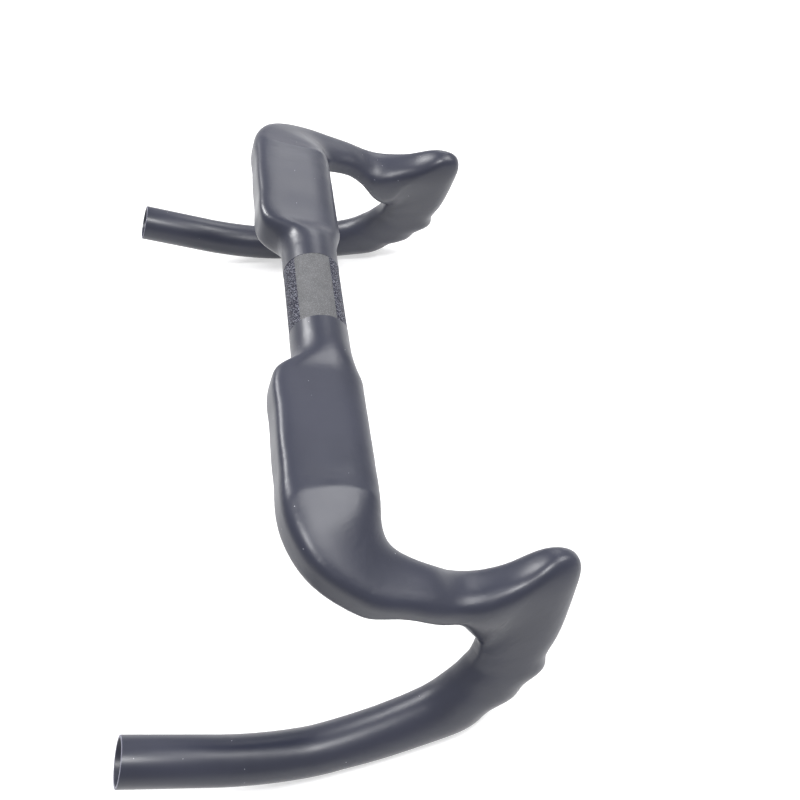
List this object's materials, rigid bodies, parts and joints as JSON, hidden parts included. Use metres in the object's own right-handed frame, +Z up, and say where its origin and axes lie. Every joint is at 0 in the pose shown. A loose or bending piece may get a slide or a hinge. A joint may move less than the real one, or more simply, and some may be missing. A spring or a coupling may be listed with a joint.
{
  "type": "track handlebar",
  "caption": "One-piece moulded track bicycle handlebar: round clamp zone, flat wing tops, forward arms, upright hoods with finger scallops and round flared drops.",
  "frame": {"origin": "centre of the round clamp zone, on its axis", "axes": "+X along the clamp axis to the rider's right, +Y in the riding direction, +Z up from the surface that the bar lies on; in this pose the flat wing is turned nose down by 20 degrees about +X from its riding pose"},
  "size_m": [0.4288, 0.2388, 0.1539],
  "materials": {
    "body": "satin black moulded carbon, with a rough grip finish on the clamp zone"
  },
  "bodies": {
    "root": {"handlebar": "body"}
  },
  "joints": []
}
